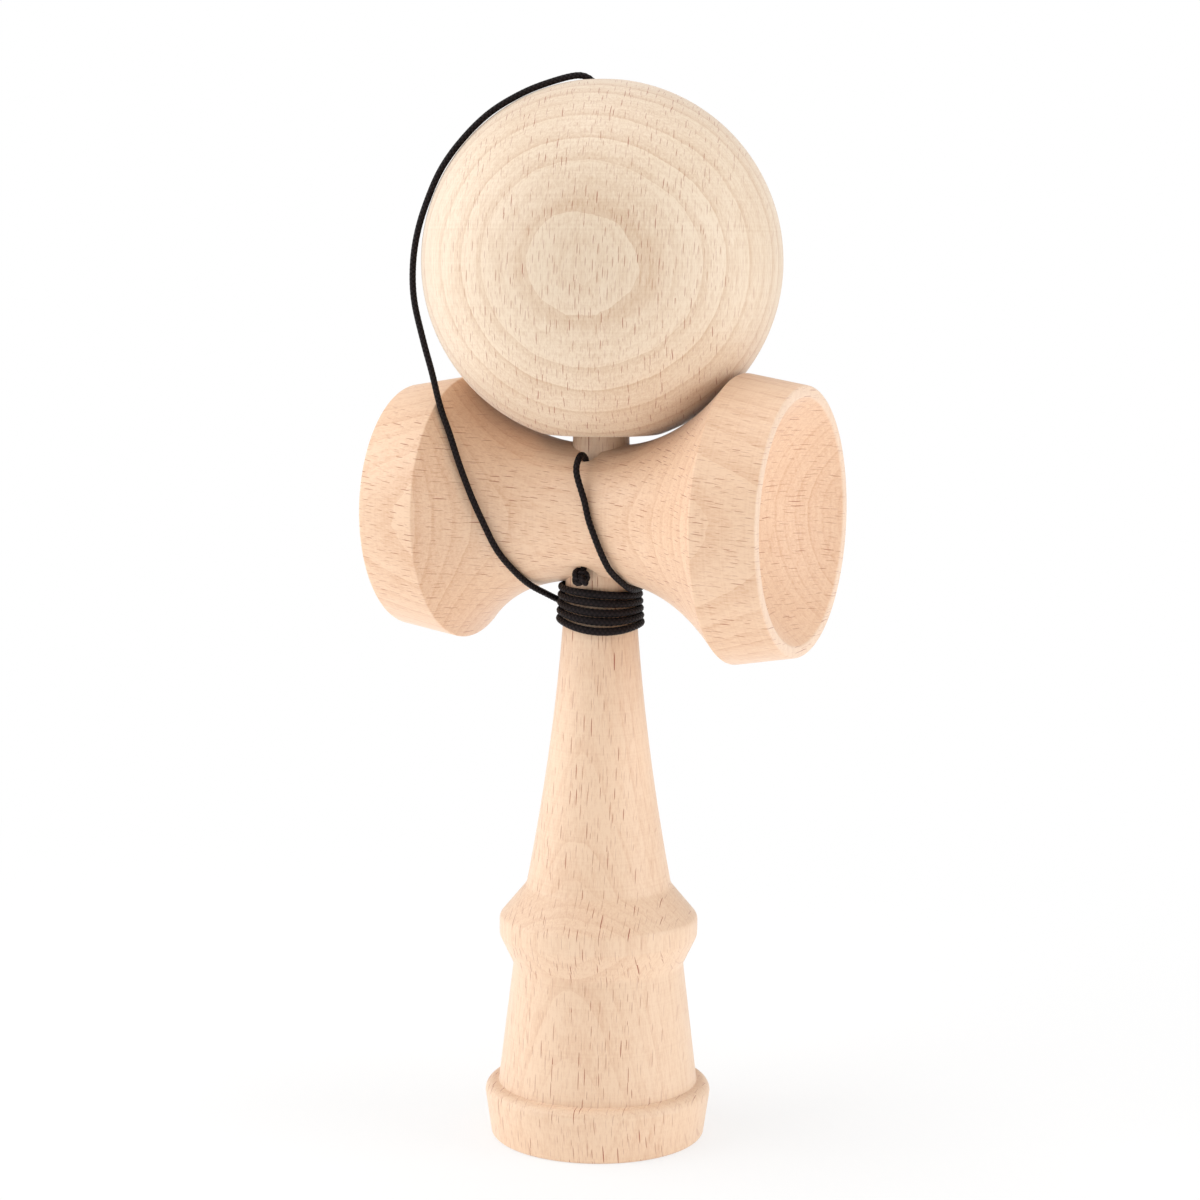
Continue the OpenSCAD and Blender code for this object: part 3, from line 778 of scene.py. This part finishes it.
def neck_radius(z):
    """Radius of the handle's neck near its top."""
    if z > SPIKE_LOW:
        return taper_radius(z)
    b = 2 * (NECK_BEND_HEIGHT - NECK_LOW)
    a, c = SPIKE_LOW - NECK_LOW - b, NECK_LOW - z
    t = (math.sqrt(b * b - 4 * a * c) - b) / (2 * a)
    return (1 - t) ** 2 * NECK_FOOT + 2 * t * (1 - t) * NECK_BEND + t * t * SPIKE_FOOT


def grow(low, high, x):
    """A share that grows smoothly from 0 to 1 between two values."""
    t = min(1.0, max(0.0, (x - low) / (high - low)))
    return t * t * (3 - 2 * t)


def winding_point(angle):
    """A point of the winding at an angle in degrees, counted on through all its turns."""
    def turn_height(a):
        turn = (a - WINDING_FRONT) / 360
        front = max(0.0, math.cos(math.radians(a - WINDING_FRONT)))
        sag = 0.27 * turn - 0.05 * (1 - math.cos(math.pi * turn))
        slant = 0.28 * (1 - turn / 4) * math.cos(math.radians(a - WINDING_FRONT + 90))
        return WINDING_TOP - WINDING_FALL * turn - sag * front ** 2 + slant
    z = turn_height(angle)
    if angle >= WINDING_CLIMB:
        z = turn_height(WINDING_CLIMB)
        z += (WINDING_LAST - z) * grow(WINDING_CLIMB, WINDING_END, angle)
    z += CUPS_AXIS
    r = neck_radius(z) + STRING_GAP + STRING_RADIUS + OUT_STEP * grow(OUT_FROM, OUT_TO, angle)
    return (r * math.cos(math.radians(angle)), r * math.sin(math.radians(angle)), z)


def bend(start, angle, sweep):
    """The string leaves a hole upwards and bends over towards an angle seen from above, both in degrees."""
    points = []
    for a in np.radians(np.linspace(0, sweep, 4)):
        out = BEND * (1 - math.cos(a))
        points.append((
            start[0] + out * math.cos(math.radians(angle)),
            start[1] + out * math.sin(math.radians(angle)),
            start[2] + BEND * math.sin(a),
        ))
    return points


def string_points():
    """Points from the knot under the cross cups to the knot in the bead."""
    def channel(z):
        return (0.0, -(taper_radius(z) + STRING_GAP + STRING_RADIUS), z)

    def raised(route, height):
        return [(x, y, z + height) for x, y, z in route]

    below = channel(LEAVE - LEAVE_RUN)
    return [
        ANCHOR, *(channel(z) for z in CHANNEL_HEIGHTS), below,
        *bend((0.0, below[1], LEAVE), BEND_HEADING, BEND_SWEEP),
        *raised(FRONT_ROUTE, CUPS_AXIS),
        *(winding_point(a) for a in range(WINDING_START, WINDING_END + 1, WINDING_STEP)),
        *raised(SIDE_ROUTE, CUPS_AXIS),
        *raised(OVER_ROUTE, BALL_CENTRE),
        *((0.0, 0.0, z) for z in BALL_HEIGHTS), BEAD_KNOT,
    ]


def smooth_line(points, step, closed=False):
    """Evenly spaced points on a smooth line through given ones."""
    p = np.array(points, float)
    p = np.vstack([p[-1], p, p[0], p[1]]) if closed else np.vstack([2 * p[0] - p[1], p, 2 * p[-1] - p[-2]])
    t = np.linspace(0, 1, 24, endpoint=False)[:, None]
    line = []
    for a, b, c, d in zip(p, p[1:], p[2:], p[3:]):
        line.append(b + 0.5 * t * ((c - a) + t * ((2 * a - 5 * b + 4 * c - d) + t * (3 * (b - c) + d - a))))
    line = np.vstack(line + [p[-2][None]])
    far = np.concatenate([[0], np.cumsum(np.linalg.norm(np.diff(line, axis=0), axis=1))])
    stops = np.linspace(0, far[-1], max(8, round(far[-1] / step)) + 1)
    return np.column_stack([np.interp(stops, far, line[:, k]) for k in range(3)])


def eased(line, reach):
    """The line with its sharp places eased over a number of points to each side, and its ends kept."""
    share = np.hanning(2 * reach + 3)[1:-1]
    longer = np.vstack([2 * line[0] - line[reach:0:-1], line, 2 * line[-1] - line[-2 : -reach - 2 : -1]])
    return np.column_stack([np.convolve(longer[:, k], share / share.sum(), "valid") for k in range(3)])


def crown_height(around, turns):
    """How far a strand stands out at a share of the way round the string, after a number of its turns."""
    left, right = STRANDS * (around - turns), STRANDS * (around + turns)
    over = (np.floor(left) + np.floor(right)) % 2
    a, b = left % 1 - 0.5, right % 1 - 0.5
    across, along = np.where(over > 0, b, a), np.where(over > 0, a, b)
    return np.cos(np.pi * across) * (CROWN_END + (1 - CROWN_END) * np.cos(np.pi * along))


def winding_height(line):
    """How much taller than round the string is: more in the winding on the neck, and most at its front."""
    widest, top, bottom, blur = 8.3, CUPS_AXIS - 12.4, CUPS_AXIS - 20, 31
    x, y, z = line.T
    wound = (np.hypot(x, y) < widest) & (z < top) & (z > bottom)
    wound = np.convolve(wound, np.full(blur, 1 / blur), "same")
    front = np.maximum(0.0, np.cos(np.arctan2(y, x) - math.radians(WINDING_FRONT)))
    return 1 + wound * (0.06 + 0.18 * front ** 2)


def braided_tube(line, thickness, closed=False, taller=None):
    """Corners, faces and UV of a braided tube along a line in millimetres."""
    s = settings().string
    sides, pitch, relief = s.sides, s.braid_pitch / MM, s.relief / MM
    if closed:
        line = line[:-1]
        ahead = np.roll(line, -1, 0) - np.roll(line, 1, 0)
    else:
        ahead = np.gradient(line, axis=0)
    ahead /= np.linalg.norm(ahead, axis=1)[:, None]
    side = np.zeros_like(line)
    first = np.cross(ahead[0], (0.31, 0.47, 0.83))
    side[0] = first / np.linalg.norm(first)
    for i in range(1, len(line)):
        v = side[i - 1] - ahead[i] * (side[i - 1] @ ahead[i])
        side[i] = v / np.linalg.norm(v)
    over = np.cross(ahead, side)
    far = np.concatenate([[0], np.cumsum(np.linalg.norm(np.diff(line, axis=0), axis=1))])
    turns = far / pitch
    if closed:
        # The frame's leftover twist is spread along the loop, so that its ends meet
        v = side[-1] - ahead[0] * (side[-1] @ ahead[0])
        twist = math.atan2(v @ over[0], v @ side[0])
        spread = -twist * np.arange(len(line)) / len(line)
        side, over = (
            side * np.cos(spread)[:, None] + over * np.sin(spread)[:, None],
            over * np.cos(spread)[:, None] - side * np.sin(spread)[:, None],
        )
        turns = np.arange(len(line)) / len(line) * max(1, round(far[-1] / pitch))
    share = np.arange(sides) / sides
    radius = thickness / 2 - relief * (1 - crown_height(share[None, :], turns[:, None]))
    if not closed:
        for k, shrink in enumerate((0.45, 0.8)):
            radius[k] *= shrink
            radius[-1 - k] *= shrink
    angle = 2 * np.pi * share[None, :, None]
    rings = line[:, None] + radius[..., None] * (np.cos(angle) * side[:, None] + np.sin(angle) * over[:, None])
    if taller is not None:
        rings[..., 2] += (rings[..., 2] - line[:, None, 2]) * (taller[:, None] - 1)
    corners = rings.reshape(-1, 3)
    rows = len(line) if closed else len(line) - 1
    i, k = np.meshgrid(np.arange(rows), np.arange(sides), indexing="ij")
    n, j = (k + 1) % sides, (i + 1) % len(line)
    faces = np.stack([i * sides + k, i * sides + n, j * sides + n, j * sides + k], -1).reshape(-1, 4)
    longer = np.append(turns, turns[-1] + turns[1] - turns[0])
    u1, u2, v1, v2 = k / sides, (k + 1) / sides, longer[i], longer[i + 1]
    uv = np.stack([np.stack(pair, -1) for pair in ((u1, v1), (u2, v1), (u2, v2), (u1, v2))], 2).reshape(-1, 2)
    faces = [tuple(f) for f in faces.tolist()]
    if not closed:
        last = len(corners) - sides
        faces += [tuple(range(sides))[::-1], tuple(range(last, last + sides))]
        uv = np.vstack([uv, np.tile((0.0, turns[0]), (sides, 1)), np.tile((0.0, turns[-1]), (sides, 1))])
    return corners, faces, uv


def string_piece(name, tubes):
    """One piece from braided tubes."""
    corners, faces, uv, start = [], [], [], 0
    for c, f, u in tubes:
        corners.append(c)
        faces += [tuple(v + start for v in face) for face in f]
        uv.append(u)
        start += len(c)
    mesh = bpy.data.meshes.new(name)
    mesh.from_pydata((np.vstack(corners) * MM).tolist(), [], faces)
    layer = mesh.uv_layers.new(name="Braid")
    layer.data.foreach_set("uv", np.vstack(uv).astype(np.float32).ravel())
    mesh.polygons.foreach_set("use_smooth", np.ones(len(mesh.polygons), bool))
    mesh.materials.append(string_finish())
    outward(mesh)
    piece = bpy.data.objects.new(name, mesh)
    bpy.context.collection.objects.link(piece)
    return piece


def knot_tubes(place, turn, tail):
    """A tight overhand knot at a place, tipped towards the front and turned about Z, and its short tail."""
    s = settings().string
    step, thickness = s.step / MM, KNOT_STRING * s.diameter / MM
    to_place = (
        Matrix.Translation(place)
        @ Matrix.Rotation(math.radians(turn), 4, "Z")
        @ Matrix.Rotation(math.radians(KNOT_TIP), 4, "X")
    )
    t = np.linspace(0, 2 * np.pi, 40, endpoint=False)
    out = KNOT_WIDE + KNOT_SWING * np.cos(3 * t)
    loop = np.column_stack([out * np.cos(2 * t), out * np.sin(2 * t), KNOT_THICK * np.sin(3 * t)])
    loop = np.array([to_place @ Vector(p) for p in loop])
    tubes = [braided_tube(smooth_line(loop, step, True), thickness, True)]
    if tail:
        tail = np.array([to_place @ Vector(p) for p in tail])
        tubes.append(braided_tube(smooth_line(tail, step), thickness))
    return tubes


# Operators

class TOY_OT_stage(bpy.types.Operator):
    """Make the camera, the floor and the light"""

    bl_idname = "cup_and_ball.stage"
    bl_label = "Stage"

    def execute(self, context):
        s = settings().stage
        scene = context.scene
        scene.view_settings.view_transform = "Standard"

        lens = bpy.data.cameras.new("Camera")
        lens.lens, lens.sensor_width = s.lens, 36.0
        lens.clip_start, lens.clip_end = 0.01, 20.0
        camera = bpy.data.objects.new("Camera", lens)
        context.collection.objects.link(camera)
        camera.matrix_world = (
            Matrix.Translation(s.camera_place)
            @ Matrix.Rotation(s.camera_turn, 4, "Z")
            @ Matrix.Rotation(math.pi / 2 - s.camera_tilt, 4, "X")
            @ Matrix.Rotation(s.camera_roll, 4, "Z")
        )
        scene.camera = camera

        floor_mesh = bpy.data.meshes.new("Floor")
        corners = [(FLOOR * x, FLOOR * y, 0) for x, y in ((-1, -1), (1, -1), (1, 1), (-1, 1))]
        floor_mesh.from_pydata(corners, [], [(0, 1, 2, 3)])
        floor = bpy.data.objects.new("Floor", floor_mesh)
        context.collection.objects.link(floor)
        floor_mesh.materials.append(self.floor_finish())

        world = bpy.data.worlds.new("White room")
        world.use_nodes = True
        scene.world = world
        w = Wiring(world.node_tree)
        room = world.node_tree.nodes["Background"]
        path = w.node("ShaderNodeLightPath")
        room.inputs["Color"].default_value = WHITE
        w.put(room.inputs["Strength"], w.ease(path.outputs["Is Camera Ray"], 0.0, 1.0, s.room_light, 1.0))

        self.lamp(context, "Left light", (-1.0, -0.15, 0.4), s.left_light)
        self.lamp(context, "Front light", (-0.7, -0.75, 0.75), s.front_light)
        self.lamp(context, "Right light", (1.0, 0.1, 0.35), s.right_light)
        self.lamp(context, "Top light", (0.0, 0.0, 1.15), s.top_light)
        return {"FINISHED"}

    def floor_finish(self):
        """White paper that fades into the white room away from the toy."""
        material, w, shader = new_finish("White paper")
        shader.inputs["Base Color"].default_value = (0.93, 0.93, 0.93, 1.0)
        shader.inputs["Roughness"].default_value = 0.9
        shader.inputs["Specular IOR Level"].default_value = 0.1
        far = w.vector("LENGTH", w.node("ShaderNodeTexCoord").outputs["Object"])
        seen = w.node("ShaderNodeLightPath").outputs["Is Camera Ray"]
        fade = w.times(w.ease(far, 0.02, 0.3, 0.7, 1.0), seen)
        white = w.node("ShaderNodeEmission", {"Color": WHITE, "Strength": 1.0})
        both = w.node("ShaderNodeMixShader", {0: fade, 1: shader.outputs[0], 2: white.outputs[0]})
        glow = w.node("ShaderNodeEmission", {"Color": WHITE, "Strength": w.ease(seen, 0.0, 1.0, 0.2, 0.0)})
        lit = w.node("ShaderNodeAddShader", {0: both.outputs[0], 1: glow.outputs[0]})
        w.put(material.node_tree.nodes["Material Output"].inputs["Surface"], lit.outputs[0])
        return material

    def lamp(self, context, name, place, power):
        """A soft square lamp aimed at the middle of the toy."""
        data = bpy.data.lights.new(name, "AREA")
        data.size, data.energy = LAMP_WIDTH, power
        lamp = bpy.data.objects.new(name, data)
        lamp.location = place
        lamp.rotation_euler = (Vector(LAMP_AIM) - Vector(place)).to_track_quat("-Z", "Y").to_euler()
        context.collection.objects.link(lamp)


class TOY_OT_string(bpy.types.Operator):
    """Make the braided string and its two knots"""

    bl_idname = "cup_and_ball.string"
    bl_label = "String and knots"

    def execute(self, context):
        s = settings().string
        line = eased(smooth_line(string_points(), s.step / MM), EASED_POINTS)
        string = string_piece("string", [braided_tube(line, s.diameter / MM, taller=winding_height(line))])
        anchor = string_piece("anchor_knot_tied", knot_tubes(FRONT_KNOT, 24, KNOT_TAIL))
        bead = string_piece("bead_knot_tied", knot_tubes(BEAD_KNOT, -40, None))
        add_to_toy(anchor, "handle", "anchor_knot")
        add_to_toy(bead, "bead", "bead_knot")
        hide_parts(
            "string_anchor_run", "string_front_run", "string_winding",
            "string_side_run", "string_ball_run",
        )
        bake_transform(string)
        return {"FINISHED"}


class TOY_OT_handle(bpy.types.Operator):
    """Turn the handle"""

    bl_idname = "cup_and_ball.handle"
    bl_label = "Handle"

    def execute(self, context):
        c = settings().colours
        wood = beech(
            "Beech handle", c.handle_pale, c.handle_dark,
            fibre="Z", centre=(0.0, 0.0, 0.04), turn=(0.0, 0.5, 82.0),
            ring=1.5, ring_shift=0.2, ring_strength=0.37, pith=90.0,
            cell=(3.0, 1.15, 3.9), ray=(1.6, 0.068, 1.4), ray_strength=1.0,
        )
        handle = turned("handle_turned", handle_outline(settings().handle), 144, wood)
        add_to_toy(handle, "handle", "handle")
        return {"FINISHED"}


class TOY_OT_cups(bpy.types.Operator):
    """Turn the cross cups, and bore them for the spike and the string"""

    bl_idname = "cup_and_ball.cross_cups"
    bl_label = "Cross cups"

    def execute(self, context):
        c, s = settings().colours, settings().cups
        wood = beech(
            "Beech cross cups", c.cups_pale, c.cups_dark,
            fibre="X", centre=(0.0, 0.0, s.height), turn=(-6.0, 0.5, 0.0),
            ring=2.2, ring_shift=0.1, ring_strength=0.48, pith=90.0,
            cell=(3.2, 0.9, 2.6), ray=(2.0, 0.064, 0.92), ray_strength=0.74,
            # The rims get a painted highlight
            rims=(-s.small_rim_at / MM, s.big_rim_at / MM),
        )
        cups = turned("cross_cups_turned", cups_outline(s), 192, wood)
        cups.data.transform(Matrix.Translation((0, 0, s.height)) @ Matrix.Rotation(math.pi / 2, 4, "Y"))
        tools = self.bore(wood), self.channel(wood)
        for tool in tools:
            cut = cups.modifiers.new("Cut", "BOOLEAN")
            cut.operation, cut.solver, cut.object = "DIFFERENCE", "EXACT", tool
        plain(cups)
        for tool in tools:
            bpy.data.objects.remove(tool)
        without_slivers(cups.data)
        cups.data.set_sharp_from_angle(angle=SHARP_ANGLE)
        add_to_toy(cups, "handle", "cross_cups")
        return {"FINISHED"}

    def bore(self, wood):
        """The cutter of the bore that sits on the spike's taper."""
        low, high, gap = 94.0, 122.0, 0.03
        line = [(0, low), (taper_radius(low) + gap, low), (taper_radius(high) + gap, high), (0, high)]
        return turned("bore", [(r * MM, z * MM) for r, z in line], 96, wood)

    def channel(self, wood):
        """The cutter of the string's channel, which widens at both ends."""
        first, last = Vector((0, -6.495, 98.32)) * MM, Vector((0, -5.571, 117.85)) * MM
        wide, narrow, deep, past = 2.408 * MM, 0.85 * MM, 2.4 * MM, MM
        run = (last - first).length
        end = [(narrow, run - deep), (wide, run + past), (0, run + past)]
        channel = turned("channel", [(0, -past), (wide, -past), (narrow, deep), *end], 32, wood)
        lean = (last - first).to_track_quat("Z", "X").to_matrix().to_4x4()
        channel.data.transform(Matrix.Translation(first) @ lean)
        return channel


class TOY_OT_ball(bpy.types.Operator):
    """Turn the drilled ball and the bead inside it"""

    bl_idname = "cup_and_ball.ball"
    bl_label = "Ball and bead"

    def execute(self, context):
        c, b = settings().colours, settings().ball
        wood = beech(
            "Beech ball", c.ball_pale, c.ball_dark,
            fibre="Z", centre=(0.0, 0.0, b.height), turn=(0.0, -2.5, 70.6),
            ring=3.3, ring_shift=0.21, ring_strength=0.65, pith=160.0,
            cell=(2.6, 0.86, 2.5), ray=(1.5, 0.066, 0.9), ray_strength=0.74,
        )
        ball = turned("ball_turned", ball_outline(b), 176, wood)
        add_to_toy(ball, "ball", "ball")
        bead = turned("bead_lacquered", bead_outline(b), 48, lacquer("Red lacquer", c.bead))
        add_to_toy(bead, "bead", "bead")
        return {"FINISHED"}


class TOY_PT_panel(bpy.types.Panel):
    """The toy's operators and settings"""

    bl_label = "Cup and Ball Toy"
    bl_idname = "TOY_PT_panel"
    bl_space_type = "VIEW_3D"
    bl_region_type = "UI"
    bl_category = "Toy"

    def draw(self, context):
        for operator in OPERATORS:
            self.layout.operator(operator.bl_idname)
        s = settings()
        for group in (s.handle, s.cups, s.ball, s.string, s.colours, s.stage):
            box = self.layout.box()
            for name in group.bl_rna.properties.keys():
                if name not in ("rna_type", "name"):
                    box.prop(group, name)


GROUPS = (
    HandleSettings, CupsSettings, BallSettings, StringSettings, ColourSettings, StageSettings, ToySettings
)
OPERATORS = (TOY_OT_stage, TOY_OT_string, TOY_OT_handle, TOY_OT_cups, TOY_OT_ball)
CLASSES = (*GROUPS, *OPERATORS, TOY_PT_panel)


def register():
    """Makes the settings, the operators and the panel known."""
    for cls in CLASSES:
        bpy.utils.register_class(cls)
    bpy.types.Scene.cup_and_ball = PointerProperty(type=ToySettings)


def unregister():
    """Takes them away again."""
    del bpy.types.Scene.cup_and_ball
    for cls in reversed(CLASSES):
        bpy.utils.unregister_class(cls)


def main():
    """Makes the whole toy."""
    register()
    bpy.ops.cup_and_ball.stage()
    bpy.ops.cup_and_ball.string()
    bpy.ops.cup_and_ball.handle()
    bpy.ops.cup_and_ball.cross_cups()
    bpy.ops.cup_and_ball.ball()


if __name__ == "__main__":
    main()
